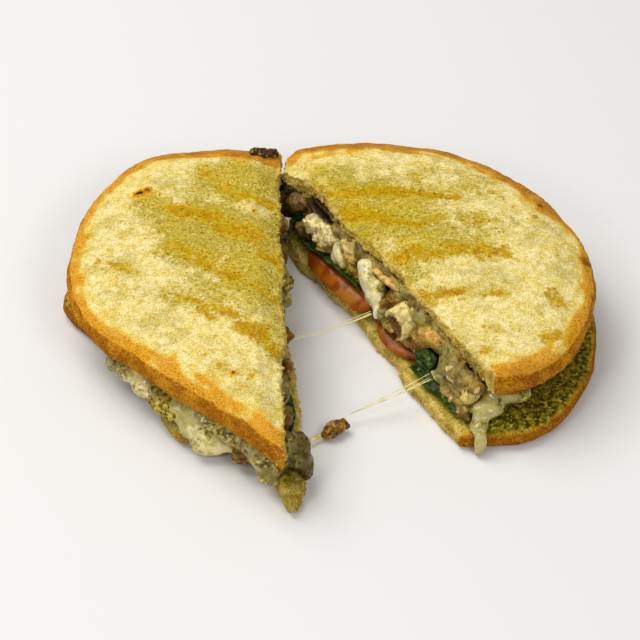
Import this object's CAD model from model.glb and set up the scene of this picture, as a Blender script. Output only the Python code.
"""The looks of a toasted panini, cut in two halves that lie in a narrow V.

Shapes are worked out in plan millimetres, the same coordinates as in the part's source, and go
into the row's frame when a mesh is made. Masks such as crust or grill are point attributes, worked
out from the place of each point; the materials mix their colours from them and from noise.
"""
import math

import bmesh
import bpy
import numpy as np
from mathutils import Matrix, Vector


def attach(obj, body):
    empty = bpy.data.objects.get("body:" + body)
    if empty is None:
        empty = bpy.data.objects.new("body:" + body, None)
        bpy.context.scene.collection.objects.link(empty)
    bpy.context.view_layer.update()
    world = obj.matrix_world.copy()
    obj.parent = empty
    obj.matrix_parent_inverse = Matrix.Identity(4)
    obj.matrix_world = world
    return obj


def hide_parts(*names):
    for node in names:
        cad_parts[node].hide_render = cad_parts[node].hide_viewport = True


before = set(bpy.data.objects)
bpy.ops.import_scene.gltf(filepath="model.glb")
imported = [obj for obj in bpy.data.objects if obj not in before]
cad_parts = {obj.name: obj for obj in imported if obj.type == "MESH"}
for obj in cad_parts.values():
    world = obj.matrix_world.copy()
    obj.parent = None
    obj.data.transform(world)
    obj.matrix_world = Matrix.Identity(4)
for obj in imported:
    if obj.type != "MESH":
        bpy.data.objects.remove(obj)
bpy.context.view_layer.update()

MM = 0.001
SHIFT = np.array([-3.593, 16.159, 0.0])      # from plan millimetres to the row's frame
LID_CELL = 0.72                              # sizes of the remesh cells, mm
BASE_CELL = 1.0
FILLING_CELL = 0.68
HIDDEN_CELL = 0.9
TOMATO_CELL = 0.6
LEAF_CELL = 0.5
PASTE_CELL = 0.5
MUSHROOM_CELL = 0.42
CRISP_CELL = 0.35
CHUNK_BOXINESS = 2.4                         # 2 is a ball, more is nearer to a block
CHUNK_SPACING = 4.6                          # between torn pieces along a heap's sides, mm
LEAF_THICKNESS = 0.7                         # mm
SHRED_COUNT = 110                            # loose fibres on each heap of chicken
CRUMB_COUNT = 150                            # crumbs along the cut of each slice
FLAKE_COUNT = 160                            # flakes of herb on each bottom slice
MASK_GRID = 80                               # squares across a slice where a mask is looked up

CAMERA_HEIGHT = math.radians(44.1)           # above the table
CAMERA_ROLL = math.radians(2.0)
CAMERA_DISTANCE = 1.215                      # m
PIXELS_PER_MM = 2.57                         # at that distance
IMAGE_WIDTH = 640
SENSOR_WIDTH = 36.0
FLOOR_SIZE = 6.0                             # m
FLOOR_COLOUR = (0.765, 0.762, 0.755)
SKY_COLOUR = (1.0, 0.99, 0.97, 1.0)
SKY_STRENGTH = 0.36
# Lights: name, place, size, power and colour
LIGHTS = [("key", (-0.60, 0.30, 1.20), 1.0, 14.5, (1.0, 0.985, 0.96)),
          ("fill", (0.45, -0.75, 0.85), 0.4, 3.2, (1.0, 0.99, 0.98)),
          ("side", (-0.55, -0.70, 0.80), 0.25, 1.8, (1.0, 0.99, 0.98))]

# Plan points of the crusts and cuts, as in the part's source
RIGHT_LID_CRUST = [(66, -59), (76, -58), (87, -51), (96, -39.5), (102.5, -24), (104.8, -10),
                   (104.8, 1), (101.6, 18), (95, 31), (87.4, 43.5), (77.8, 53), (62.4, 64),
                   (45.6, 71), (29.4, 72.8), (13.5, 72.5), (-2.6, 69.8), (-12.5, 66), (-16.2, 61)]
RIGHT_LID_CUT = [(-16.2, 61), (-15.7, 50), (-6, 44), (-2, 39.6), (3.3, 28.2), (9.2, 20.1), (14.6, 12.3),
                 (20.4, 6.1), (26.8, -1.7), (31, -7.3), (33.5, -13.7), (40.1, -22.9), (45.2, -31.6),
                 (53.4, -43), (60.2, -50.8), (66, -59)]
RIGHT_BASE_CRUST = [(54, -67.5), (67, -67), (80, -64.6), (90.5, -56.5), (98.8, -43.5), (104.8, -28.5),
                    (107, -12), (106, 4), (100, 20), (89.5, 37), (73.5, 51), (51, 61.5), (26, 65.5),
                    (0, 63.5), (-12.5, 57)]
RIGHT_BASE_CUT = [(-12.5, 57), (-14.5, 44), (-11.4, 30), (0.4, 17.3), (13.4, -1.8), (21.2, -14.6),
                  (28.6, -26.6), (34.4, -37.4), (41.9, -49.4), (54, -67.5)]
LEFT_LID_CRUST = [(-17.3, 63.5), (-34, 65.3), (-50, 64.4), (-66.5, 61.5), (-78, 53.8), (-88.8, 37.5),
                  (-94.8, 22), (-97, 2), (-96.8, -13), (-92.5, -28.5), (-84, -42), (-72, -52),
                  (-57, -64.5), (-43, -74.8), (-28, -86), (-16, -97), (-10.8, -102)]
LEFT_LID_CUT = [(-10.8, -102), (-12, -80), (-13.5, -59), (-12.5, -38), (-15, -19), (-14.5, 0),
                (-16.5, 16), (-17.3, 40), (-17.3, 63.5)]
LEFT_BASE_CRUST = [(-18, 58), (-34, 60), (-50, 59.5), (-66, 56.5), (-80, 46), (-92, 28), (-98, 10),
                   (-100, -4), (-96, -9), (-86.5, -19.5), (-74, -33.5), (-63, -49), (-57.5, -61.5),
                   (-51, -70.5), (-40, -73), (-26, -77.5), (-16, -87), (-8.5, -105)]
LEFT_BASE_CUT = [(-8.5, -105), (-3.8, -98), (-4.3, -80), (-6, -60), (-8, -42), (-12, -20), (-15, 5),
                 (-17, 25), (-18, 58)]

# Grill marks: start, end, half width and strength
RIGHT_GRILL = [(-3, 40, 9, 35, 2.6, 0.7), (9, 36, 31, 36, 2.4, 0.9), (31, 37, 51, 34, 1.5, 1.0),
               (8, 25, 25, 21, 3.4, 0.9), (25, 20, 37, 18, 2.0, 0.8), (40, 20, 47, 23, 2.0, 0.5),
               (55, 20, 68, 22, 1.8, 0.5), (14, 14, 20, 16, 2.2, 0.5), (24, 1, 37, 4, 2.8, 0.8),
               (37, 0, 49, 3, 2.6, 0.6), (49, 5, 67, 4, 3.2, 0.7), (39, -18, 43, -23, 2.2, 0.7),
               (44, -19, 54, -18, 1.8, 0.9), (60, -20, 67, -19, 1.7, 0.6), (52, -23, 54, -23, 1.5, 0.6),
               (86, -19, 90, -20, 2.6, 0.7), (89, -38, 98, -38, 2.4, 0.9), (84, -40, 86, -41, 2.0, 0.6),
               (60, -46, 62, -46, 2.0, 0.5), (60, -38, 76, -37, 2.0, 0.35)]
LEFT_GRILL = [(-59, 23, -42, 18, 2.8, 1.0), (-40, 13, -27, 8, 3.6, 0.8), (-57, 1, -46, -6, 3.0, 0.6),
              (-46, -8, -31, -15, 2.8, 0.7), (-27, -19, -15, -25, 2.8, 0.7), (-85, -8, -69, -15, 2.0, 0.6),
              (-54, -26, -48, -29, 2.4, 0.8), (-45, -32, -40, -37, 2.2, 0.7), (-37, -33, -32, -37, 2.4, 0.8),
              (-30, -41, -22, -45, 3.0, 1.0), (-38, 34, -30, 29, 3.0, 0.6), (-30, 29, -19, 28, 3.0, 0.6),
              (-23, -1, -15, -5, 2.8, 0.7), (-47, 43, -45, 41, 1.6, 0.5), (-17, -51, -14, -54, 2.0, 0.9),
              (-38, -60, -25, -66, 2.4, 0.45), (-71, -52, -50, -74, 3.0, 0.45)]
# Grooves that the grill pressed: slope of their lines, and where each crosses x = 0
RIGHT_PRESS = (-0.03, (54.0, 37.5, 21.0, 3.0, -17.5, -37.0, -54.0))
LEFT_PRESS = (-0.44, (40.0, 17.0, -5.0, -28.0, -53.0, -77.0, -100.0))
# Where oil and pesto soaked through: middle, half sizes and strength
RIGHT_SOAK = [(18, 26, 34, 20, 1.0), (45, 10, 26, 14, 0.7), (0, 42, 16, 12, 0.7), (30, -6, 12, 16, 0.6),
              (62, 24, 16, 9, 0.5), (45, 44, 30, 11, 0.45)]
LEFT_SOAK = [(-45, 10, 20, 24, 1.0), (-26, -6, 14, 34, 0.9), (-44, -24, 16, 14, 0.6), (-64, 22, 13, 10, 0.7),
             (-30, 40, 26, 17, 0.85), (-16, -45, 7, 20, 0.7), (-18, 4, 8, 46, 0.8)]
# Where the rim is toasted darkest
RIGHT_BAKED = [(74, 46, 34, 22, 1.0), (20, 66, 50, 16, 1.0), (82, -56, 22, 10, 0.6), (104, 10, 6, 24, 0.4)]
LEFT_BAKED = [(-42, 58, 38, 15, 1.0), (-78, 50, 14, 12, 0.5), (-50, -68, 36, 9, 0.15),
              (-16, -96, 12, 10, 0.4)]
# Burnt spots: place, radius and strength
RIGHT_CHAR = [(84, 36, 1.6, 0.7), (82, 26, 1.2, 0.5), (101, 6, 2.4, 0.6), (104, -14, 2.0, 0.5)]
LEFT_CHAR = [(-72, 31, 1.7, 1.0), (-69, 32, 1.3, 0.8), (-31, -65, 0.8, 0.9), (-74, -56, 1.0, 0.9),
             (-66, 24, 0.7, 0.7), (-27, 22, 0.6, 0.7)]
# Where the left half's cheese is dark olive, at the front of its cut: place
OLIVE_END = [(-6.0, -84.0, 12.0), (-4.0, -90.0, 8.0), (-9.0, -78.5, 14.0)]
# Where cheese and pesto ran over the lower crust
LEFT_BASE_GREEN = [(-58, -60, 16, 16, 1.0), (-30, -80, 20, 14, 0.8), (-7, -95, 9, 12, 0.8)]

TOP_SLICES = {"right": (RIGHT_LID_CRUST, RIGHT_LID_CUT, RIGHT_GRILL, RIGHT_PRESS, RIGHT_SOAK,
                        RIGHT_BAKED, RIGHT_CHAR),
              "left": (LEFT_LID_CRUST, LEFT_LID_CUT, LEFT_GRILL, LEFT_PRESS, LEFT_SOAK,
                       LEFT_BAKED, LEFT_CHAR)}
BOTTOM_SLICES = {"right": (RIGHT_BASE_CRUST, RIGHT_BASE_CUT, []),
                 "left": (LEFT_BASE_CRUST, LEFT_BASE_CUT, LEFT_BASE_GREEN)}


# ---------------------------------------------------------------- numbers over arrays of points

def smoothstep(low, high, value):
    """0 up to low, 1 from high on, and smooth between them."""
    share = np.clip((value - low) / (high - low), 0.0, 1.0)
    return share * share * (3.0 - 2.0 * share)


def fade(low, high, value):
    """1 up to low, 0 from high on, and smooth between them."""
    return 1.0 - smoothstep(low, high, value)


def lattice(cell, seed):
    """A repeatable number from 0 to 1 for each whole-number cell."""
    mixed = cell[..., 0] * 374761393 + cell[..., 1] * 668265263 + cell[..., 2] * 974634777 + seed * 362437
    mixed = mixed & 0xFFFFFFFF
    mixed = ((mixed ^ (mixed >> 13)) * 1274126177) & 0xFFFFFFFF
    return ((mixed ^ (mixed >> 16)) & 0xFFFFFF) / float(0xFFFFFF)


def noise(points, size, seed=0, octaves=1, rough=0.5):
    """Smooth noise from about -1 to 1, with bumps of a size in millimetres."""
    total = np.zeros(len(points))
    weight, reach = 1.0, 0.0
    for octave in range(octaves):
        place = points / (size * 0.5 ** octave)
        cell = np.floor(place).astype(np.int64)
        share = place - cell
        share = share * share * (3.0 - 2.0 * share)
        value = np.zeros(len(points))
        for corner in range(8):
            step = np.array([corner & 1, corner >> 1 & 1, corner >> 2 & 1])
            near = np.where(step, share, 1.0 - share).prod(axis=1)
            value += near * lattice(cell + step, seed + octave * 17)
        total += weight * (2.0 * value - 1.0)
        reach += weight
        weight *= rough
    return total / reach


def cells(points, size, seed):
    """Distance to the nearest of scattered points, as a share of a size in millimetres."""
    place = points / size
    cell = np.floor(place).astype(np.int64)
    nearest = np.full(len(points), 9.0)
    for x in (-1, 0, 1):
        for y in (-1, 0, 1):
            for z in (-1, 0, 1):
                there = cell + np.array([x, y, z])
                spot = np.stack([lattice(there, seed + axis) for axis in (1, 2, 3)], axis=1)
                nearest = np.minimum(nearest, ((there + spot - place) ** 2).sum(axis=1))
    return np.sqrt(nearest)


def curve_through(points, steps=8):
    """A Catmull-Rom curve through plan points."""
    knots = np.array(points, float)
    knots = np.vstack([2 * knots[0] - knots[1], knots, 2 * knots[-1] - knots[-2]])
    line = []
    for before, start, end, after in zip(knots, knots[1:], knots[2:], knots[3:]):
        for step in range(steps):
            t = step / steps
            line.append(0.5 * (2 * start + (end - before) * t
                               + (2 * before - 5 * start + 4 * end - after) * t ** 2
                               + (3 * start - before - 3 * end + after) * t ** 3))
    line.append(knots[-2])
    return np.array(line)


def distance_to(line, plan):
    """Distance from plan points to a line of plan points."""
    best = np.full(len(plan), 1e9)
    for start, end in zip(line, line[1:]):
        run = end - start
        share = np.clip(((plan - start) @ run) / max(run @ run, 1e-9), 0.0, 1.0)
        gap = plan - start - share[:, None] * run
        best = np.minimum(best, (gap ** 2).sum(axis=1))
    return np.sqrt(best)


# ---------------------------------------------------------------- shapes: points and triangles

class Cut:
    """Places on a cut, in millimetres: u along it, v into the food and z up."""

    def __init__(self, corner, along, into):
        self.corner = np.array([*corner, 0.0])
        self.axes = np.array([[*along, 0.0], [*into, 0.0], [0.0, 0.0, 1.0]])

    def at(self, u, v, z):
        return self.corner + np.array([u, v, z]) @ self.axes


RIGHT = Cut((-14, 34), (0.6, -0.8), (0.8, 0.6))
LEFT = Cut((-15, 46), (0.02, -1.0), (-1.0, -0.02))
PLAN = Cut((0, 0), (1, 0), (0, 1))


def ball(subdivisions):
    bm = bmesh.new()
    bmesh.ops.create_icosphere(bm, subdivisions=subdivisions, radius=1.0)
    bm.verts.index_update()
    points = np.array([vertex.co[:] for vertex in bm.verts])
    faces = np.array([[vertex.index for vertex in face.verts] for face in bm.faces])
    bm.free()
    return points, faces


def outward(points, faces):
    """Unit normals at a shape's points."""
    a, b, c = points[faces[:, 0]], points[faces[:, 1]], points[faces[:, 2]]
    across = np.cross(b - a, c - a)
    normals = np.zeros_like(points)
    for corner in range(3):
        np.add.at(normals, faces[:, corner], across)
    return normals / np.maximum(np.linalg.norm(normals, axis=1), 1e-9)[:, None]


def cad_shape(node, inset=0.0):
    """A CAD node's welded points in plan millimetres, drawn in by an inset, and its triangles."""
    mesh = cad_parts[node].data
    corners = points_of(mesh)
    faces = np.array([face.vertices[:] for face in mesh.polygons])
    _, first, joined = np.unique(corners.round(3), axis=0, return_index=True, return_inverse=True)
    points, faces = corners[first], joined.ravel()[faces]
    return points - inset * outward(points, faces), faces


class Chunk:
    """A torn piece of food: a rounded block whose corners are sliced off by a few planes."""

    def __init__(self, cut, place, sizes, tilt=0.0, turn=0.0, tone=(0.5, 0.5, 0.5), seed=0, facets=7):
        rng = np.random.default_rng(seed)
        points, self.faces = ball(4 if min(sizes) > 1.6 else 3)
        size = (np.abs(points) ** CHUNK_BOXINESS).sum(axis=1) ** (1.0 / CHUNK_BOXINESS)
        points = points / size[:, None]
        for _ in range(facets):
            way = rng.normal(size=3)
            way /= np.linalg.norm(way)
            beyond = np.maximum(points @ way - rng.uniform(0.55, 0.85), 0.0)
            points = points - 0.9 * beyond[:, None] * way
        lift = Matrix.Rotation(math.radians(-tilt), 3, "Y") @ Matrix.Rotation(math.radians(turn), 3, "Z")
        self.axes = np.array(lift.transposed()) @ cut.axes
        self.sizes = np.array(sizes, float)
        self.centre = cut.at(*place)
        self.points = (points * self.sizes) @ self.axes + self.centre
        self.tone = tone
        if np.linalg.det(self.axes) < 0:
            self.faces = self.faces[:, ::-1]

    def shape(self):
        return self.points, self.faces

    def reach(self, points):
        """How far points are from the chunk's middle, in its own sizes."""
        local = (points - self.centre) @ self.axes.T / self.sizes
        return np.linalg.norm(local, axis=1)


def tube(path, radii, flat, sides):
    """A closed tube through points, of changing radius, flattened if flat is under 1."""
    path, rings = np.array(path, float), []
    ahead = np.gradient(path, axis=0)
    ahead /= np.linalg.norm(ahead, axis=1)[:, None]
    for point, way, radius in zip(path, ahead, radii):
        side = np.cross(way, [0.0, 0.0, 1.0])
        side = side / max(np.linalg.norm(side), 1e-6)
        above = np.cross(side, way)
        for step in range(sides):
            turn = math.tau * step / sides
            rings.append(point + radius * (math.cos(turn) * side + flat * math.sin(turn) * above))
    count = len(path)
    faces = []
    for ring in range(count - 1):
        for step in range(sides):
            a, b = ring * sides + step, ring * sides + (step + 1) % sides
            faces += [(a, b, b + sides), (a, b + sides, a + sides)]
    rings += [path[0], path[-1]]
    for step in range(sides):
        after = (step + 1) % sides
        faces.append((count * sides, after, step))
        faces.append((count * sides + 1, (count - 1) * sides + step, (count - 1) * sides + after))
    faces = np.array(faces)[:, ::-1]
    return np.array(rings), faces


def joined(shapes):
    """Several shapes as one."""
    points, faces, start = [], [], 0
    for shape_points, shape_faces in shapes:
        points.append(shape_points)
        faces.append(shape_faces + start)
        start += len(shape_points)
    return np.vstack(points), np.vstack(faces)


# ---------------------------------------------------------------- meshes

def points_of(mesh):
    """A mesh's points in plan millimetres."""
    flat = np.empty(len(mesh.vertices) * 3)
    mesh.vertices.foreach_get("co", flat)
    return flat.reshape(-1, 3) / MM - SHIFT


def move_points(mesh, points):
    mesh.vertices.foreach_set("co", ((points + SHIFT) * MM).ravel())
    mesh.update()


def normals_of(mesh):
    flat = np.empty(len(mesh.vertices) * 3)
    mesh.vertex_normals.foreach_get("vector", flat)
    return flat.reshape(-1, 3)


def points_and_normals(obj):
    return points_of(obj.data), normals_of(obj.data)


def push_out(obj, points, normals, relief):
    """Moves points along their normals, by a relief in millimetres."""
    move_points(obj.data, points + normals * relief[:, None])


def add_object(name, shapes):
    points, faces = joined(shapes)
    mesh = bpy.data.meshes.new(name)
    mesh.from_pydata(((points + SHIFT) * MM).tolist(), [], faces.tolist())
    obj = bpy.data.objects.new(name, mesh)
    bpy.context.scene.collection.objects.link(obj)
    mesh.shade_smooth()
    return obj


def apply_modifiers(obj):
    depsgraph = bpy.context.evaluated_depsgraph_get()
    before = obj.data
    obj.data = bpy.data.meshes.new_from_object(obj.evaluated_get(depsgraph), depsgraph=depsgraph)
    obj.modifiers.clear()
    bpy.data.meshes.remove(before)


def modify(obj, kind, **settings):
    modifier = obj.modifiers.new(kind.lower(), kind)
    for name, value in settings.items():
        setattr(modifier, name, value)


def remesh(obj, cell):
    modify(obj, "REMESH", mode="VOXEL", voxel_size=cell * MM)


def soften(obj, times):
    modify(obj, "SMOOTH", factor=0.5, iterations=times)


def swell(obj, by):
    modify(obj, "DISPLACE", mid_level=0.0, strength=by * MM)


def fused(name, shapes, cell, relax=2, melt=0.0):
    """Closed shapes joined by a remesh in even cells; melt fills the creases between them."""
    obj = add_object(name, shapes)
    remesh(obj, cell)
    if melt:
        swell(obj, melt)
        remesh(obj, cell)
        soften(obj, 4)
        swell(obj, -melt)
    soften(obj, relax)
    apply_modifiers(obj)
    obj.data.shade_smooth()
    return obj


def add_masks(obj, **masks):
    """A number from 0 to 1 for each point, under each name; one number stands for all points."""
    for name, values in masks.items():
        filled = np.broadcast_to(np.clip(values, 0.0, 1.0), len(obj.data.vertices))
        layer = obj.data.attributes.new(name, "FLOAT", "POINT")
        layer.data.foreach_set("value", filled.astype(np.float32))


def add_tones(obj, tones):
    """A colour for each point."""
    layer = obj.data.attributes.new("tone", "FLOAT_COLOR", "POINT")
    with_alpha = np.hstack([tones, np.ones((len(tones), 1))])
    layer.data.foreach_set("color", with_alpha.astype(np.float32).ravel())


def finish_piece(obj, surface, nodes=()):
    obj.data.materials.clear()
    obj.data.materials.append(surface)
    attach(obj, "root")
    if nodes:
        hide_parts(*nodes)


def seats_on(obj, count, allowed, seed):
    """Random places on a mesh, spread by area, with the normals there."""
    mesh = obj.data
    mesh.calc_loop_triangles()
    flat = np.empty(len(mesh.loop_triangles) * 3, np.int32)
    mesh.loop_triangles.foreach_get("vertices", flat)
    faces, points, normals = flat.reshape(-1, 3), points_of(mesh), normals_of(mesh)
    corners = points[faces]
    middle = corners.mean(axis=1)
    facing = normals[faces].mean(axis=1)
    area = np.linalg.norm(np.cross(corners[:, 1] - corners[:, 0], corners[:, 2] - corners[:, 0]), axis=1)
    weight = area * np.clip(allowed(middle, facing), 0.0, 1.0)
    rng = np.random.default_rng(seed)
    picked = rng.choice(len(faces), size=count, p=weight / weight.sum())
    return middle[picked], facing[picked], rng


def apart(places, distance):
    """Numbers of those places that keep a distance from all places kept before them."""
    kept = []
    for number, place in enumerate(places):
        if not kept or np.linalg.norm(places[kept] - place, axis=1).min() > distance:
            kept.append(number)
    return kept


# ---------------------------------------------------------------- materials

class Paint:
    """A Principled material and short ways to add nodes in front of it."""

    def __init__(self, name, roughness, **inputs):
        self.surface = bpy.data.materials.new(name)
        self.surface.use_nodes = True
        self.nodes = self.surface.node_tree.nodes
        self.links = self.surface.node_tree.links
        self.shader = self.nodes["Principled BSDF"]
        self.shader.inputs["Roughness"].default_value = roughness
        for socket, value in inputs.items():
            self.shader.inputs[socket.replace("_", " ")].default_value = value
        self.place = self.nodes.new("ShaderNodeTexCoord").outputs["Object"]

    def join(self, value, socket):
        if isinstance(value, bpy.types.NodeSocket):
            self.links.new(value, socket)
        elif isinstance(value, tuple) and len(value) == 3 and socket.type == "RGBA":
            socket.default_value = (*value, 1.0)
        else:
            socket.default_value = value

    def add(self, kind, inputs, **settings):
        """A node with its settings, and a value or a link on each input that is named."""
        node = self.nodes.new("ShaderNode" + kind)
        for name, value in settings.items():
            setattr(node, name, value)
        for name, value in inputs.items():
            self.join(value, node.inputs[name])
        return node

    def mask(self, name, output="Fac"):
        return self.add("Attribute", {}, attribute_name=name).outputs[output]

    def noise(self, size, detail=3.0, rough=0.6, squeeze=(1.0, 1.0, 1.0)):
        """Noise from 0 to 1 with bumps of a size in millimetres, longer where squeeze is under 1."""
        place = self.add("VectorMath", {0: self.place, 1: squeeze}, operation="MULTIPLY")
        inputs = {"Vector": place.outputs["Vector"], "Scale": 1.0 / (size * MM), "Detail": detail,
                  "Roughness": rough}
        return self.add("TexNoise", inputs).outputs["Fac"]

    def span(self, value, low, high):
        """value taken from low..high to 0..1."""
        inputs = {"Value": value, "From Min": low, "From Max": high}
        return self.add("MapRange", inputs, interpolation_type="SMOOTHSTEP").outputs["Result"]

    def flecks(self, size, low, high):
        """Small sharp spots."""
        return self.span(self.noise(size, 1.0, 0.4), low, high)

    def sum(self, first, second, how="ADD"):
        return self.add("Math", {0: first, 1: second}, operation=how).outputs["Value"]

    def times(self, first, second):
        return self.sum(first, second, "MULTIPLY")

    def worn(self, mask, *patterns):
        """A mask whose edge is broken up by patterns, each with an amount."""
        for pattern, amount in patterns:
            mask = self.sum(mask, self.times(self.sum(pattern, 0.5, "SUBTRACT"), amount))
        return mask

    def mix(self, first, second, share, strength=None, how="MIX"):
        """second laid over first, as far as a share and a strength say."""
        if strength is not None:
            share = self.times(share, strength)
        node = self.add("Mix", {"Factor": share}, data_type="RGBA", blend_type=how)
        colours = [socket for socket in node.inputs if socket.type == "RGBA"]
        self.join(first, colours[0])
        self.join(second, colours[1])
        return [socket for socket in node.outputs if socket.type == "RGBA"][0]

    def colour(self, value):
        self.join(value, self.shader.inputs["Base Color"])

    def rough(self, value):
        self.join(value, self.shader.inputs["Roughness"])

    def bump(self, height, depth, strength=1.0):
        """Relief of a depth in millimetres, over any relief given before."""
        node = self.add("Bump", {"Strength": strength, "Distance": depth * MM, "Height": height})
        before = self.shader.inputs["Normal"]
        if before.links:
            self.links.new(before.links[0].from_socket, node.inputs["Normal"])
        self.links.new(node.outputs["Normal"], before)


class Bread(Paint):
    """The bread's material, with the patterns that its colours share."""

    def __init__(self):
        super().__init__("toasted bread", 0.9, Specular_IOR_Level=0.03, Subsurface_Weight=0.05,
                         Subsurface_Scale=1.0 * MM)
        self.grain = self.noise(0.65, 2.0, 0.7, (0.6, 1.0, 1.0))
        self.crumb = self.noise(2.0, 3.0, 0.65)
        self.tuft = self.noise(3.6, 3.0, 0.6)
        self.mottle = self.noise(6.5, 4.0, 0.6)
        self.dark_grain = self.span(self.grain, 0.48, 0.34)
        self.bright_grain = self.span(self.grain, 0.53, 0.68)
        bake = self.worn(self.mask("bake"), (self.mottle, 1.0), (self.crumb, 0.8))
        self.baked = self.span(bake, 0.15, 0.85)

    def soaked_crumb(self):
        """Cream and pale yellow, and yellow-green where it is soaked."""
        colour = self.mix((0.76, 0.60, 0.17), (0.88, 0.76, 0.37), self.span(self.tuft, 0.36, 0.60))
        soak = self.worn(self.mask("soak"), (self.mottle, 1.2), (self.crumb, 0.8))
        lime = self.mix((0.54, 0.40, 0.012), (0.39, 0.285, 0.004), self.span(self.crumb, 0.40, 0.60))
        colour = self.mix(colour, lime, self.span(soak, 0.16, 0.80), 0.90)
        green = self.times(self.span(self.noise(14.0, 2.0), 0.44, 0.58), self.span(self.mottle, 0.40, 0.56))
        return self.mix(colour, (0.36, 0.32, 0.075), green, 0.42)

    def grilled(self, colour):
        """Amber grill marks, broken up by the crumb, and bright and dark grains."""
        mark = self.mask("grill")
        yellowed = self.span(self.worn(mark, (self.mottle, 1.2), (self.crumb, 1.3)), 0.05, 0.70)
        colour = self.mix(colour, (0.51, 0.34, 0.002), yellowed, 0.85)
        spotted = self.span(self.worn(mark, (self.mottle, 2.2), (self.crumb, 2.8)), 0.42, 0.95)
        amber = self.mix((0.51, 0.265, 0.002), (0.38, 0.155, 0.001), self.span(self.tuft, 0.46, 0.62))
        colour = self.mix(colour, amber, spotted, 0.80)
        plain = self.sum(1.0, self.times(yellowed, 0.9), "SUBTRACT")
        colour = self.mix(colour, (0.96, 0.84, 0.40), self.times(self.bright_grain, plain), 0.50)
        return self.mix(colour, (0.28, 0.195, 0.003), self.dark_grain, 0.42)

    def toasted_rim(self, colour):
        """The rim goes from gold to amber and brown."""
        toast = self.worn(self.mask("toast"), (self.mottle, 1.3), (self.grain, 1.3))
        rim = self.mix((0.84, 0.58, 0.060), (0.70, 0.310, 0.007), self.span(toast, 0.25, 0.75))
        rim = self.mix(rim, (0.42, 0.140, 0.003), self.baked, self.span(toast, 0.60, 1.15))
        rim = self.mix(rim, (0.86, 0.50, 0.045), self.bright_grain, 0.30)
        rim = self.mix(rim, (0.20, 0.060, 0.002), self.dark_grain, 0.70)
        return self.mix(colour, rim, self.span(toast, 0.02, 0.65), 0.92)

    def crust(self, colour):
        """The brown side of the crust."""
        side = self.span(self.worn(self.mask("crust"), (self.tuft, 0.8)), 0.25, 0.8)
        brown = self.mix((0.58, 0.255, 0.012), (0.37, 0.125, 0.004), self.span(self.mottle, 0.38, 0.60))
        brown = self.mix(brown, (0.26, 0.075, 0.002), self.baked, 0.7)
        brown = self.mix(brown, (0.74, 0.41, 0.060), self.bright_grain, 0.55)
        brown = self.mix(brown, (0.13, 0.040, 0.001), self.dark_grain, 0.65)
        return self.mix(colour, brown, side)

    def cut_and_spread(self, colour):
        """Torn crumb at the cut, and pesto."""
        torn = self.mix((0.69, 0.495, 0.13), (0.44, 0.290, 0.03), self.span(self.tuft, 0.42, 0.60))
        torn = self.mix(torn, (0.86, 0.74, 0.32), self.bright_grain, 0.6)
        colour = self.mix(colour, torn, self.mask("torn"))
        pesto = self.mix((0.26, 0.20, 0.008), (0.050, 0.040, 0.002), self.span(self.crumb, 0.42, 0.58))
        pesto = self.mix(pesto, (0.52, 0.41, 0.055), self.span(self.noise(1.7, 3.0), 0.53, 0.65))
        return self.mix(colour, pesto, self.mask("pesto"))

    def flecked(self, colour):
        """Flecks of herb, burnt places and a fine uneven shade."""
        where = self.span(self.sum(self.mask("soak"), self.noise(9.0, 2.0)), 0.50, 1.05)
        herbs = self.times(self.flecks(1.0, 0.66, 0.70), where)
        colour = self.mix(colour, (0.10, 0.085, 0.008), herbs, 0.7)
        colour = self.mix(colour, (0.030, 0.012, 0.003), self.mask("char"))
        dust = self.span(self.noise(0.45, 1.0, 0.6), 0.36, 0.64)
        shade = self.mix((0.80, 0.78, 0.68), (1.15, 1.14, 1.10), dust)
        return self.mix(colour, shade, 1.0, how="MULTIPLY")


def bread_paint():
    bread = Bread()
    colour = bread.toasted_rim(bread.grilled(bread.soaked_crumb()))
    colour = bread.cut_and_spread(bread.crust(colour))
    bread.colour(bread.flecked(colour))
    bread.bump(bread.crumb, 0.40, 1.0)
    bread.bump(bread.grain, 0.35, 1.0)
    return bread.surface


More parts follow.
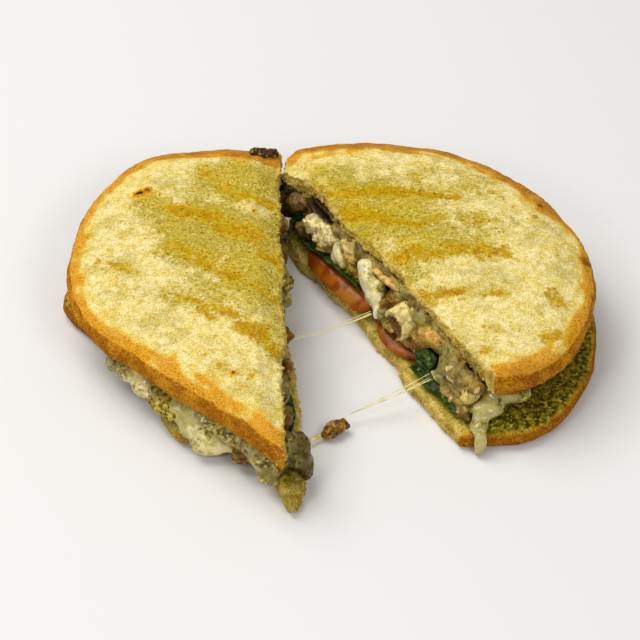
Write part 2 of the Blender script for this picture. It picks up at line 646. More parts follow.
def cheese_paint():
    paint = Paint("melted cheese", 0.25, Specular_IOR_Level=0.18, Subsurface_Weight=0.35,
                  Subsurface_Scale=1.6 * MM, Subsurface_Radius=(1.0, 0.80, 0.35), Coat_Roughness=0.12)
    cloud = paint.noise(3.6, 4.0)
    crumb = paint.noise(1.5, 3.0)
    white = paint.mix((0.90, 0.78, 0.35), (0.62, 0.49, 0.10), paint.span(cloud, 0.48, 0.66))
    white = paint.mix(white, (0.90, 0.86, 0.68), paint.span(paint.mask("white"), 0.80, 1.0))
    green = paint.mix((0.38, 0.31, 0.075), (0.20, 0.155, 0.022), paint.span(cloud, 0.42, 0.60))
    colour = paint.mix(green, white, paint.span(paint.worn(paint.mask("white"), (cloud, 1.1)), 0.12, 0.80))
    pesto = paint.mix((0.34, 0.26, 0.020), (0.085, 0.065, 0.003), paint.span(crumb, 0.44, 0.56))
    pesto = paint.mix(pesto, (0.62, 0.50, 0.10), paint.span(paint.noise(1.8, 3.0), 0.52, 0.62))
    colour = paint.mix(colour, pesto, paint.span(paint.worn(paint.mask("stain"), (crumb, 0.9)), 0.25, 0.75))
    flecks = paint.flecks(0.8, 0.65, 0.70)
    speckled = paint.sum(0.75, paint.times(paint.mask("white"), 0.55), "SUBTRACT")
    colour = paint.mix(colour, (0.10, 0.088, 0.010), flecks, speckled)
    colour = paint.mix(colour, (0.045, 0.024, 0.003), paint.mask("deep"))
    paint.colour(colour)
    paint.rough(paint.sum(paint.times(paint.mask("stain"), 0.25), 0.18))
    wet = paint.sum(0.70, paint.times(paint.mask("deep"), 0.65), "SUBTRACT")
    paint.join(wet, paint.shader.inputs["Coat Weight"])
    paint.bump(cloud, 0.30, 0.5)
    paint.bump(crumb, 0.25, 0.5)
    return paint.surface


def chicken_paint():
    paint = Paint("shredded chicken", 0.45, Specular_IOR_Level=0.12, Subsurface_Weight=0.10,
                  Subsurface_Scale=1.2 * MM, Coat_Weight=0.12, Coat_Roughness=0.12)
    lumpy = paint.noise(2.6, 4.0)
    shade = paint.mix((0.62, 0.56, 0.42), (1.08, 1.04, 0.96), paint.span(lumpy, 0.40, 0.60))
    colour = paint.mix(paint.mask("tone", "Color"), shade, 1.0, how="MULTIPLY")
    soaked = paint.span(paint.noise(7.0, 2.0), 0.52, 0.66)
    colour = paint.mix(colour, (0.40, 0.30, 0.035), soaked, 0.5)
    colour = paint.mix(colour, (0.075, 0.050, 0.010), paint.mask("hollow"), 0.7)
    flecks = paint.flecks(0.9, 0.65, 0.69)
    colour = paint.mix(colour, (0.060, 0.055, 0.006), flecks, 0.85)
    paint.colour(colour)
    paint.bump(paint.noise(0.8, 2.0), 0.14, 0.8)
    return paint.surface


def mushroom_paint():
    paint = Paint("cooked mushroom", 0.35, Specular_IOR_Level=0.15, Subsurface_Weight=0.12,
                  Subsurface_Scale=1.0 * MM, Coat_Weight=0.30, Coat_Roughness=0.12)
    lumpy = paint.noise(2.6, 3.0)
    shade = paint.mix((0.62, 0.58, 0.50), (1.2, 1.18, 1.1), paint.span(lumpy, 0.40, 0.60))
    colour = paint.mix(paint.mask("tone", "Color"), shade, 1.0, how="MULTIPLY")
    paint.colour(colour)
    paint.bump(paint.noise(0.8, 2.0), 0.12, 0.7)
    return paint.surface


def tomato_paint():
    paint = Paint("cooked tomato", 0.28, Specular_IOR_Level=0.10, Subsurface_Weight=0.25,
                  Subsurface_Scale=1.4 * MM, Subsurface_Radius=(1.0, 0.30, 0.08), Coat_Weight=0.18,
                  Coat_Roughness=0.08)
    flesh = paint.noise(5.0, 4.0)
    pulp = paint.noise(2.0, 3.0)
    colour = paint.mix((0.31, 0.070, 0.002), (0.20, 0.038, 0.001), paint.span(flesh, 0.42, 0.60))
    faded = paint.span(paint.noise(12.0, 2.0), 0.46, 0.62)
    colour = paint.mix(colour, (0.40, 0.165, 0.012), faded, 0.55)
    skin = paint.worn(paint.mask("skin"), (flesh, 0.8))
    colour = paint.mix(colour, (0.17, 0.032, 0.001), paint.span(skin, 0.35, 0.85))
    paint.colour(colour)
    paint.bump(flesh, 0.25, 0.7)
    paint.bump(pulp, 0.10, 0.7)
    return paint.surface


def leaf_paint():
    paint = Paint("wilted spinach", 0.3, Specular_IOR_Level=0.08, Subsurface_Weight=0.05,
                  Subsurface_Scale=0.6 * MM, Coat_Weight=0.10, Coat_Roughness=0.06)
    tone = paint.noise(3.0, 3.0)
    colour = paint.mix((0.012, 0.028, 0.001), (0.045, 0.080, 0.003), paint.span(tone, 0.46, 0.64))
    colour = paint.mix(colour, (0.16, 0.17, 0.030), paint.span(paint.noise(2.2, 2.0), 0.60, 0.70))
    paint.colour(colour)
    paint.bump(paint.noise(1.4, 3.0), 0.30, 0.9)
    return paint.surface


def pesto_paint(name, light, dark, bright):
    paint = Paint(name, 0.4, Specular_IOR_Level=0.10, Subsurface_Weight=0.08,
                  Subsurface_Scale=1.0 * MM, Coat_Weight=0.10, Coat_Roughness=0.12)
    crumb = paint.noise(1.5, 3.0)
    colour = paint.mix(light, dark, paint.span(crumb, 0.42, 0.60))
    colour = paint.mix(colour, bright, paint.span(paint.noise(2.0, 3.0), 0.51, 0.64))
    flecks = paint.flecks(0.9, 0.62, 0.67)
    colour = paint.mix(colour, (0.035, 0.034, 0.004), flecks)
    paint.colour(colour)
    paint.bump(crumb, 0.3, 0.8)
    return paint.surface


def burnt_paint():
    paint = Paint("burnt crisp", 0.65, Specular_IOR_Level=0.12)
    mottle = paint.noise(2.2, 3.0)
    colour = paint.mix((0.020, 0.009, 0.003), (0.110, 0.022, 0.007), paint.span(mottle, 0.46, 0.58))
    colour = paint.mix(colour, (0.22, 0.19, 0.035), paint.span(mottle, 0.46, 0.36))
    paint.colour(colour)
    paint.bump(paint.noise(1.0, 3.0), 0.3, 0.8)
    return paint.surface


def fleck_paint():
    paint = Paint("herb flakes", 0.35, Coat_Weight=0.2)
    colour = paint.mix((0.020, 0.030, 0.003), (0.075, 0.080, 0.006), paint.span(paint.noise(2.0), 0.42, 0.6))
    paint.colour(colour)
    return paint.surface


# ---------------------------------------------------------------- bread

def strokes(points, marks):
    """How strongly each point lies under short marks, whose edges are broken up."""
    ragged = 1.0 + 0.8 * noise(points, 5.0, 61, 3)
    total = np.zeros(len(points))
    for x0, y0, x1, y1, width, strength in marks:
        line = np.array([(x0, y0), (x1, y1)], float)
        away = distance_to(line, points[:, :2]) / ragged
        total = np.maximum(total, strength * fade(0.1 * width, 2.1 * width, away))
    return total


def grooves(points, press):
    """Shallow parallel grooves that the grill pressed, from 0 to 1."""
    slope, crossings = press
    lean = points[:, 1] - slope * points[:, 0] + 2.0 * noise(points, 24.0, 62, 2)
    lean = lean / math.hypot(1.0, slope)
    total = np.zeros(len(points))
    for crossing in crossings:
        total = np.maximum(total, np.exp(-((lean - crossing) / 4.2) ** 2))
    return total * (0.75 + 0.45 * noise(points, 18.0, 63, 2))


def patches(points, spots):
    """How strongly each point lies in soft patches, whose outlines wander."""
    wander = np.stack([noise(points, 14.0, 71, 2), noise(points, 14.0, 72, 2)], axis=1) * 6.0
    wander = points[:, :2] + wander
    total = np.zeros(len(points))
    for x, y, reach_x, reach_y, strength in spots:
        away = np.hypot((wander[:, 0] - x) / reach_x, (wander[:, 1] - y) / reach_y)
        total = np.maximum(total, strength * fade(0.35, 1.35, away))
    return total


def char_spots(points, spots):
    total = np.zeros(len(points))
    for x, y, radius, strength in spots:
        away = np.hypot(points[:, 0] - x, points[:, 1] - y) + 0.7 * radius * noise(points, 1.6, 81, 2)
        total = np.maximum(total, strength * fade(0.5 * radius, 1.1 * radius, away))
    return total


def edges(points, normals, crust, cut, inner, outer):
    """Distances to the crust and the cut, and masks of the top, of the cut's edge and of its face."""
    from_crust = distance_to(curve_through(crust), points[:, :2])
    from_cut = distance_to(curve_through(cut), points[:, :2])
    top = smoothstep(0.2, 0.7, normals[:, 2])
    near_cut = fade(inner, outer, from_cut) * smoothstep(0.5, 3.0, from_crust)
    return from_crust, from_cut, top, near_cut, near_cut * fade(0.45, 0.85, normals[:, 2])


def top_slice(side, crust, cut, marks, press, soaked, baked, charred, paint):
    node = f"{side}_top_slice"
    obj = fused(f"{side}_top_bread", [cad_shape(node)], LID_CELL)
    points, normals = points_and_normals(obj)
    up = normals[:, 2]
    from_crust, _, top, near_cut, torn = edges(points, normals, crust, cut, 1.0, 3.4)
    grill = strokes(points, marks) * top
    pressed = grooves(points, press) * top * smoothstep(3.0, 9.0, from_crust)
    bake = patches(points, baked)
    around = np.arctan2(points[:, 1], points[:, 0] - np.median(points[:, 0]))
    streaks = noise(np.stack([60.0 * around, 5.0 * from_crust, 0.0 * around], axis=1), 9.0, 35, 2)
    ragged_crust = from_crust + 3.0 * noise(points, 6.0, 31, 3) + 3.0 * streaks - 5.5 * bake
    toast = fade(0.0, 10.0, ragged_crust) * (1.0 - torn)
    toast = np.maximum(toast, 0.8 * char_spots(points, [(x, y, 2.4 * r, s) for x, y, r, s in charred]))
    crust_side = fade(0.42, 0.80, up + 0.12 * noise(points, 4.0, 33, 2)) * (1.0 - torn)
    crust_side *= fade(5.0, 9.0, from_crust)
    under = smoothstep(0.3, 0.8, -up) * smoothstep(3.0, 6.0, from_crust)

    relief = 0.09 * noise(points, 1.3, 11, 2) + 0.20 * noise(points, 5.0, 12, 2)
    relief -= 0.28 * fade(0.10, 0.45, cells(points, 3.0, 13)) * top
    relief -= 0.65 * pressed + 0.15 * grill
    relief += (0.30 * noise(points, 1.5, 14, 2) + 0.25 * noise(points, 3.5, 18, 2)) * crust_side
    relief += (1.05 * noise(points, 2.8, 15, 3) + 0.55 * noise(points, 1.3, 16, 2)) * near_cut
    relief -= 0.7 * fade(0.15, 0.5, cells(points, 2.4, 19)) * torn
    push_out(obj, points, normals, relief)

    add_masks(obj, soak=(patches(points, soaked) + 0.15 * pressed) * top, grill=grill, toast=toast,
              bake=bake, crust=crust_side, torn=np.maximum(torn, under),
              pesto=torn * smoothstep(0.1, 0.5, noise(points, 5.0, 17, 2)) * 0.25,
              char=char_spots(points, charred) * top)
    finish_piece(obj, paint, [node])
    return obj


def bottom_slice(side, crust, cut, greened, paint):
    node = f"{side}_bottom_slice"
    obj = fused(f"{side}_bottom_bread", [cad_shape(node)], BASE_CELL)
    points, normals = points_and_normals(obj)
    from_crust, from_cut, top, near_cut, torn = edges(points, normals, crust, cut, 1.4, 4.4)
    crust_side = fade(0.45, 0.85, normals[:, 2]) * (1.0 - torn)
    crust_side *= fade(5.0, 9.0, from_crust)
    green = patches(points, greened)
    spread_on = top * smoothstep(0.5, 3.0, from_crust + 1.6 * noise(points, 3.0, 41, 3))
    spread_on *= smoothstep(2.0, 6.5, from_cut + 2.5 * noise(points, 4.0, 42, 2))
    above_table = smoothstep(0.0, 1.5, points[:, 2])

    relief = 0.14 * noise(points, 1.6, 43, 2) + 0.2 * noise(points, 5.0, 44, 2)
    relief += 0.45 * noise(points, 2.2, 45, 3) * spread_on
    relief += (0.8 * noise(points, 2.6, 46, 3) + 0.55 * noise(points, 1.2, 47, 2)) * near_cut
    relief += (1.2 * noise(points, 3.0, 48, 3) + 0.6 * noise(points, 1.6, 49, 1)) * green
    relief -= 0.5 * near_cut * top
    push_out(obj, points, normals, relief * above_table)

    add_masks(obj, soak=0.8 * top, grill=0.0, bake=0.9, char=0.0,
              toast=fade(1.0, 3.5, from_crust) * (1.0 - torn) * (1.0 - green),
              crust=crust_side * (1.0 - 0.9 * green),
              torn=np.maximum(torn, np.maximum(near_cut * 0.6, green)),
              pesto=np.maximum(spread_on, 0.60 * green))
    finish_piece(obj, paint, [node])
    return obj


# ---------------------------------------------------------------- fillings

PALE = (0.90, 0.77, 0.40)
CREAM = (0.80, 0.64, 0.25)
GREY = (0.31, 0.235, 0.062)
TAN = (0.36, 0.240, 0.055)
GOLD = (0.62, 0.38, 0.085)
MUSTARD = (0.44, 0.34, 0.035)
BROWN = (0.22, 0.095, 0.012)
GREEN = (0.34, 0.30, 0.095)
DULL = (0.22, 0.150, 0.045)
OLIVE = (0.17, 0.135, 0.020)
SHADOW = (0.045, 0.030, 0.008)
MIXED = (PALE, GREY, TAN, GREEN, CREAM, GREY, PALE, BROWN)
DARK = (OLIVE, BROWN, OLIVE, GREEN, OLIVE)
BACKING_STEP = 5.0                           # spacing of the pieces behind the cut, mm

# Chicken at the right cut: place (u, v, z), half sizes, tilt, turn and tone
RIGHT_CHUNKS = [
    ((3.6, 4.6, 17.6), (2.4, 2.8, 5.2), 10, 0, TAN), ((9.6, 6.4, 22.6), (5.0, 4.4, 3.8), 12, 20, PALE),
    ((17.4, 7.0, 23.2), (5.2, 4.4, 4.6), -8, -15, PALE), ((14.0, 5.6, 19.6), (4.0, 3.4, 2.6), 5, 30, PALE),
    ((18.8, 5.6, 18.2), (4.4, 3.6, 2.8), -10, 10, GREY), ((29.6, 8.6, 25.0), (4.6, 3.6, 3.2), -20, 0, CREAM),
    ((32.6, 7.2, 22.4), (3.6, 3.4, 2.4), -25, 15, GOLD),
    ((35.2, 6.8, 18.8), (5.4, 3.0, 2.4), -12, 0, MUSTARD),
    ((59.6, 6.2, 20.4), (4.0, 3.4, 2.8), 20, 0, BROWN), ((62.5, 7.4, 23.4), (4.4, 3.2, 2.2), -10, 0, BROWN),
    ((75.8, 8.4, 24.8), (4.8, 3.4, 2.6), -8, 10, GREEN), ((84.0, 6.6, 21.2), (8.8, 4.8, 3.4), 24, 8, GOLD),
    ((79.5, 7.6, 17.8), (4.4, 3.6, 3.0), 10, 0, BROWN), ((96.6, 7.4, 23.0), (5.4, 4.2, 3.8), 20, -20, GREEN),
    ((103.5, 5.6, 20.4), (7.8, 4.4, 4.6), -12, 12, GREY), ((99.5, 5.2, 17.6), (5.0, 3.8, 3.6), 30, 0, GREY),
    ((111.5, 5.8, 20.2), (5.2, 4.2, 3.2), 0, -20, TAN), ((106.0, 3.8, 15.6), (7.2, 3.4, 2.4), -4, 6, GREY),
    ((113.2, 3.8, 16.4), (4.2, 3.4, 2.6), 12, 0, CREAM), ((111.5, 2.0, 12.2), (5.6, 3.4, 2.4), 4, 15, TAN),
    ((114.0, 0.6, 9.8), (4.8, 3.0, 1.8), -6, 0, DULL), ((60.6, 4.2, 16.4), (4.6, 3.6, 3.2), 10, 10, GREEN),
    ((63.5, 3.4, 13.6), (5.4, 3.2, 2.2), 6, 0, MUSTARD), ((74.6, 4.0, 13.0), (5.2, 3.4, 2.0), -4, 10, GREEN),
    ((79.8, 4.6, 14.8), (4.6, 3.4, 2.6), 8, 0, BROWN), ((96.5, 2.6, 13.2), (5.6, 3.4, 2.2), 0, 0, GREEN),
    ((104.5, 1.4, 12.2), (5.4, 3.2, 1.9), -3, 0, TAN), ((99.0, 3.4, 20.6), (4.6, 3.4, 4.4), 60, 10, GREY),
]
# Other pieces: place, half sizes, tilt, turn and seed
CHEESE_LOBE = [((43.0, 6.4, 25.4), (4.4, 3.0, 3.6), 30, 0, 421),
               ((47.6, 5.0, 22.8), (5.4, 3.4, 5.0), 30, 0, 422),
               ((52.5, 4.0, 19.2), (5.0, 3.2, 4.4), 35, 0, 423)]
CHEESE_SKIRT = [((-77.0, -38.0, 11.0), (4.0, 3.0, 3.6), 0, 0, 411),
                ((-60.0, -57.0, 14.0), (5.0, 3.4, 3.4), 0, -48, 412),
                ((-52.0, -65.0, 12.0), (6.0, 3.4, 3.8), 0, -40, 413),
                ((-47.5, -70.2, 8.4), (5.0, 2.4, 3.4), 0, -30, 414),
                ((-31.5, -76.6, 9.4), (5.0, 2.6, 4.0), 0, -35, 415),
                ((-24.0, -82.5, 11.4), (5.0, 3.0, 3.6), 0, -45, 416)]
GILLED_PART = [((69.6, 4.4, 17.8), (5.0, 3.4, 5.2), 0, 0, 601)]
BROWN_LOBES = [((-4.6, 5.6, 23.0), (3.4, 2.4, 3.6), -35, 0, 605),
               ((0.4, 6.6, 27.2), (3.2, 2.4, 2.6), 20, 0, 606)]
CLUMP_BITS = [((10.4, -59.6, 4.0), (2.6, 2.0, 2.0), 0, 0, 611),
              ((3.4, -64.0, 3.0), (2.4, 1.8, 1.8), 0, 0, 612)]
CRISP_FLAKES = [((-28.0, 60.4, 32.8), (2.4, 1.5, 1.7), 10, 20, 621),
                ((-21.0, 59.8, 33.0), (2.4, 1.6, 1.9), -15, -10, 622)]
# Tomato slices: half, number, cut, middle and half width along it, and how far they bulge
TOMATOES = [("right", 1, RIGHT, 38.0, 26.0, 3.4), ("right", 2, RIGHT, 70.0, 20.0, 1.6),
            ("left", 1, LEFT, 39.0, 22.0, -0.8), ("left", 2, LEFT, 76.0, 20.0, -0.8)]
# Crumpled edges of the leaves, by number: spans of u and v, level at the start, slope, wave and seed
FRILL_START = 8.0
RIGHT_FRILLS = {1: ((8, 46), (1.6, 5.5), 14.6, 0.08, 1.6, 501),
                2: ((84, 114), (-3.4, 3.6), 10.8, 0.0, 1.8, 502),
                3: ((81, 93), (0.5, 5.0), 15.0, 0.0, 1.6, 503)}
LEFT_FRILLS = {1: ((16, 58), (-0.4, 4.0), 14.4, 0.08, 1.5, 504)}
# Threads of each string of cheese: start, end, sag, and radius at both ends
STRINGS = {
    "cheese_string_1": [((-10.4, -33, 21.0), (19.5, -11.2, 15.2), 1.4, 0.16, 0.55),
                        ((-10.2, -32, 21.2), (19.2, -10.6, 15.9), 1.0, 0.10, 0.22)],
    "cheese_string_2": [((12.0, -55.6, 5.4), (42.6, -43.0, 12.6), 0.8, 0.30, 0.22),
                        ((13.0, -55.4, 5.6), (42.0, -40.6, 13.2), 0.5, 0.22, 0.16),
                        ((12.6, -55.0, 5.2), (41.6, -42.0, 12.0), 1.1, 0.14, 0.16)],
    "cheese_string_3": [((1.9, -64.5, 2.6), (-2.2, -67.7, 2.6), 0.3, 0.9, 0.6)],
}


def chunks_from(cut, rows, facets=7):
    return [Chunk(cut, place, sizes, tilt, turn, seed=seed, facets=facets)
            for place, sizes, tilt, turn, seed in rows]


def steep_beyond(cut, depth):
    """Allows steep places that lie further into the food than a depth from a cut."""
    def allowed(points, facing):
        v = (points - cut.corner) @ cut.axes[1]
        return (np.abs(facing[:, 2]) < 0.75) * (v > depth)
    return allowed


def edge_chunks(node, allowed, count, seed, tones, sunk=1.4):
    """Torn pieces along the sides of a heap, turned along its edge and sunk into it."""
    scratch = add_object("scratch", [cad_shape(node)])
    places, facing, rng = seats_on(scratch, count, allowed, seed)
    bpy.data.objects.remove(scratch)
    chunks = []
    for number in apart(places, CHUNK_SPACING):
        away = facing[number] * (1.0, 1.0, 0.0)
        away /= np.linalg.norm(away)
        place = places[number] - away * rng.uniform(sunk, sunk + 1.2)
        beside = Cut(place[:2], (away[1], -away[0]), (-away[0], -away[1]))
        sizes = rng.uniform((3.4, 2.6, 2.0), (6.0, 3.6, 3.2))
        chunks.append(Chunk(beside, (0.0, 0.0, place[2]), sizes, rng.uniform(-30, 30), rng.uniform(-30, 30),
                            tones[rng.integers(len(tones))], rng.integers(10 ** 6)))
    return chunks


def backing(cut, spans, levels, tones, seed):
    """Rows of pieces behind those that are listed one by one."""
    rng = np.random.default_rng(seed)
    chunks = []
    for level, depth in levels:
        for u in np.arange(*spans, BACKING_STEP):
            place = (u + rng.uniform(-1.5, 1.5), depth + rng.uniform(-0.8, 0.8),
                     level + rng.uniform(-0.8, 0.8))
            sizes = rng.uniform((3.2, 2.6, 1.8), (5.2, 3.4, 2.8))
            chunks.append(Chunk(cut, place, sizes, rng.uniform(-25, 25), rng.uniform(-25, 25),
                                tones[rng.integers(len(tones))], rng.integers(10 ** 6)))
    return chunks


def bits_on(cut, chunks, count, tones, seed):
    """Small torn bits over the sides of larger pieces that face the cut."""
    rng = np.random.default_rng(seed)
    bits = []
    for _ in range(count):
        piece = chunks[rng.integers(len(chunks))]
        faces_cut = np.flatnonzero((piece.points - piece.centre) @ cut.axes[1] < 0.0)
        place = piece.points[rng.choice(faces_cut)]
        u, v, z = (place - cut.corner) @ cut.axes.T
        bits.append(Chunk(cut, (u, v + 0.3, z), rng.uniform((1.8, 0.8, 0.5), (4.0, 1.5, 1.1)),
                          rng.uniform(-60, 60), rng.uniform(-40, 40), tones[rng.integers(len(tones))],
                          rng.integers(10 ** 6)))
    return bits


def belonging(points, chunks):
    """For each point: its chunk, how much nearer that is than the next, its grain and its reach."""
    jitter = 0.12 * noise(points, 2.0, 90, 2)
    nearest = np.full(len(points), 9.0)
    second = np.full(len(points), 9.0)
    owner = np.zeros(len(points), int)
    for number, piece in enumerate(chunks):
        gap = piece.reach(points) + jitter * (number % 2 * 2 - 1)
        closer = gap < nearest
        second = np.where(closer, nearest, np.minimum(second, gap))
        owner[closer] = number
        nearest = np.minimum(nearest, gap)
    grain = np.array([piece.axes[0] for piece in chunks])[owner]
    return owner, second - nearest, grain, nearest


def fibres(points, grain, long, thin, seed):
    """Noise drawn out along each point's grain."""
    along = (points * grain).sum(axis=1)
    squeezed = points - grain * (along * (1.0 - thin / long))[:, None]
    return noise(squeezed, thin, seed, 2, 0.6)


def shreds(obj, count, allowed, seed):
    """Loose fibres that lie over a heap and stand out of it."""
    places, facing, rng = seats_on(obj, count, allowed, seed)
    shapes = []
    for place, away in zip(places, facing):
        way = np.cross(away, rng.normal(size=3))
        way /= np.linalg.norm(way)
        reach, bend = rng.uniform(1.5, 3.6), rng.uniform(-0.8, 0.8)
        side = np.cross(away, way)
        path = [place + way * reach * t + side * bend * t * t + away * (0.25 - 0.8 * t * t)
                for t in np.linspace(-1.0, 1.0, 7)]
        radii = rng.uniform(0.4, 0.75) * (1.0 - 0.7 * np.linspace(-1.0, 1.0, 7) ** 2) + 0.08
        shapes.append(tube(path, radii, 0.6, 6))
    return shapes


def merge(obj, shapes):
    """Adds shapes to a mesh."""
    extra = add_object("extra", shapes)
    with bpy.context.temp_override(active_object=obj, selected_editable_objects=[obj, extra]):
        bpy.ops.object.join()


def heap(side, chunks, cell, shred_side, paint):
    """Chicken torn into pieces, each with its own tone and its own fibres."""
    node = f"{side}_chicken"
    core = cad_shape(node, 1.0)
    shapes = [core] + [piece.shape() for piece in chunks]
    obj = fused(f"{side}_chicken_heap", shapes, cell, 1, melt=0.55)
    merge(obj, shreds(obj, SHRED_COUNT, shred_side, 96))
    points, normals = points_and_normals(obj)
    owner, crease, grain, away = belonging(points, chunks)
    gaps = smoothstep(-0.3, 0.3, noise(points, 5.0, 98, 2))
    relief = 0.75 * fibres(points, grain, 9.0, 1.3, 93) + 0.50 * noise(points, 2.2, 94, 3)
    relief -= 0.8 * fade(0.0, 0.22, crease) * gaps
    push_out(obj, points, normals, relief)
    tones = np.array([piece.tone for piece in chunks])[owner]
    inner, deep = smoothstep(1.15, 1.6, away)[:, None], deep_in_v(points)[:, None]
    tones = tones * (1.0 - inner) + np.array(OLIVE) * inner
    tones = tones * (1.0 - deep) + np.array(SHADOW) * deep
    streaks = fibres(points, grain, 6.0, 0.8, 97)
    add_tones(obj, tones * (1.0 + 0.34 * streaks)[:, None])
    add_masks(obj, hollow=fade(0.0, 0.12, crease) * gaps)
    finish_piece(obj, paint, [node])


def deep_in_v(points):
    """1 in the V's closed end, behind the pieces that catch the light there."""
    along = (points - RIGHT.corner) @ RIGHT.axes[0]
    into = np.abs((points - RIGHT.corner) @ RIGHT.axes[1])
    return fade(10.0, 20.0, along) * smoothstep(6.5, 8.5, into)


def near(points, places, reach):
    """1 at any of the places, falling to 0 at a reach from them."""
    total = np.zeros(len(points))
    for place in places:
        away = np.linalg.norm(points - np.array(place), axis=1) + 1.5 * noise(points, 4.0, 105, 2)
        total = np.maximum(total, fade(0.45 * reach, reach, away))
    return total


def melt(side, extra, white_places, whiteness, clean_places, melted, paint):
    """Cheese that ran together: white where it is thick, stained with pesto elsewhere."""
    node = f"{side}_cheese"
    shapes = [cad_shape(node)] + [piece.shape() for piece in extra]
    obj = fused(f"{side}_melted_cheese", shapes, FILLING_CELL, 3, melt=melted)
    points, normals = points_and_normals(obj)
    white = whiteness * near(points, white_places, 8.5) * (0.8 + 0.4 * noise(points, 3.0, 108, 2))
    clean = np.maximum(white, near(points, clean_places, 9.0))
    stain = smoothstep(-0.45, 0.15, noise(points, 4.0, 103, 3)) * (1.0 - 0.8 * clean)
    relief = 0.45 * noise(points, 5.5, 101, 2) + 0.15 * noise(points, 1.8, 102, 2)
    relief += (0.65 * noise(points, 2.4, 104, 3) + 0.45 * noise(points, 1.2, 107, 1)) * stain
    push_out(obj, points, normals, relief)
    add_masks(obj, white=np.maximum(white, 0.42 * clean), stain=stain,
              deep=np.maximum(deep_in_v(points), 0.78 * near(points, OLIVE_END, 13.0)))
    finish_piece(obj, paint, [node])


def tomato_slice(side, number, cut, middle, half_width, sag, paint):
    """A wet slice that bulges and sags where it was cut."""
    obj = fused(f"{side}_tomato_slice_{number}", [cad_shape(f"{side}_tomato_{number}")], TOMATO_CELL, 24)
    points, normals = points_and_normals(obj)
    local = (points - cut.corner) @ cut.axes.T
    along = np.clip(1.0 - ((local[:, 0] - middle) / half_width) ** 2, 0.0, 1.0)
    front = fade(-1.0, 3.4, local[:, 1])
    uneven = 1.0 + 0.35 * noise(points * [1.0, 1.0, 0.3], 14.0, 132, 2)
    points = points - cut.axes[1] * (sag * along * front * uneven)[:, None]
    points[:, 2] -= 0.12 * sag * along * front * uneven
    relief = 0.35 * noise(points, 8.0, 131, 2) + 0.12 * noise(points, 2.2, 133, 2)
    push_out(obj, points, normals, relief)
    ends = smoothstep(0.45, 0.90, np.abs(local[:, 0] - middle) / half_width)
    add_masks(obj, skin=np.maximum(ends, 0.6 * smoothstep(0.5, 0.85, normals[:, 2])))
    finish_piece(obj, paint, [f"{side}_tomato_{number}"])


def wet_piece(name, node, paint, amount, size, seed, cell=PASTE_CELL, relax=4, extra=()):
    """A softened piece with uneven relief, for pesto and the crisp."""
    shapes = [cad_shape(node)] + [piece.shape() for piece in extra]
    obj = fused(name, shapes, cell, relax)
    points, normals = points_and_normals(obj)
    push_out(obj, points, normals, amount * noise(points, size, seed, 3))
    finish_piece(obj, paint, [node])


def mushroom(node, base, light, centre, axis_cut, extra, paint, gilled=False):
    """A mushroom slice: pale towards its rim and brown inside, with spokes where it has gills."""
    shapes = [cad_shape(node)] + [piece.shape() for piece in extra]
    obj = fused(f"{node}_cooked", shapes, MUSHROOM_CELL, 2)
    points, normals = points_and_normals(obj)
    local = (points - axis_cut.at(*centre)) @ axis_cut.axes.T
    spoke = np.arctan2(local[:, 2], local[:, 0])
    away = np.hypot(local[:, 0], local[:, 2])
    inside = fade(4.4, 5.4, away)
    relief = 0.35 * noise(points, 2.5, 141, 3)
    if gilled:
        relief += 0.3 * np.sin(spoke * 17.0) * inside * smoothstep(0.8, 2.0, away)
    push_out(obj, points, normals, relief)
    rim = 1.0 - inside if gilled else smoothstep(-0.2, 0.6, noise(points, 5.0, 142, 2))
    rim = rim[:, None]
    add_tones(obj, np.array(base) * (1.0 - rim) + np.array(light) * rim)
    finish_piece(obj, paint, [node])


def frill(cut, u_span, v_span, level, slope, wave, seed):
    """The crumpled edge of a leaf: a thin sheet along a cut that waves up and down."""
    (u_low, u_high), (v_low, v_high) = u_span, v_span
    columns, rows = 60, 9
    along, into = np.meshgrid(np.linspace(0, 1, columns), np.linspace(0, 1, rows))
    along, into = along.ravel(), into.ravel()
    flat = np.stack([along * (u_high - u_low), into * (v_high - v_low), np.zeros(len(along))], axis=1)
    lift = wave * noise(flat + 50.0, 5.0, seed, 2) + 0.4 * wave * noise(flat, 2.0, seed + 1, 2)
    sway = 1.2 * noise(flat + 20.0, 6.0, seed + 2, 2)
    taper = np.sin(np.pi * np.clip(along, 0.02, 0.98)) ** 0.4
    local = np.stack([u_low + flat[:, 0], v_low + flat[:, 1] * taper + sway,
                      level + slope * (u_low + flat[:, 0] - FRILL_START) + lift * taper], axis=1)
    middle = cut.corner + local @ cut.axes
    quads = []
    for row in range(rows - 1):
        for column in range(columns - 1):
            a = row * columns + column
            quads += [(a, a + 1, a + columns + 1), (a, a + columns + 1, a + columns)]
    quads = np.array(quads)
    normals = outward(middle, quads)
    count = len(middle)
    rim = ([(c, c + 1) for c in range(columns - 1)]
           + [(r * columns + columns - 1, (r + 1) * columns + columns - 1) for r in range(rows - 1)]
           + [(count - 1 - c, count - 2 - c) for c in range(columns - 1)]
           + [((r + 1) * columns, r * columns) for r in range(rows - 1)])
    sides = [(a, a + count, b) for a, b in rim] + [(b, a + count, b + count) for a, b in rim]
    faces = np.vstack([quads, quads[:, ::-1] + count, np.array(sides)])
    half = normals * LEAF_THICKNESS / 2
    return np.vstack([middle + half, middle - half]), faces


def leaves(side, cut, frills, count, paint):
    for number in range(1, count + 1):
        node = f"{side}_spinach_{number}"
        shapes = [cad_shape(node)]
        if number in frills:
            shapes.append(frill(cut, *frills[number]))
        obj = fused(f"{side}_leaf_{number}", shapes, LEAF_CELL, relax=1)
        points, normals = points_and_normals(obj)
        points[:, 2] += 0.5 * noise(points * [1.0, 1.0, 0.0], 4.0, 120 + number, 2)
        push_out(obj, points, normals, 0.08 * noise(points, 1.2, 125, 2))
        finish_piece(obj, paint, [node])


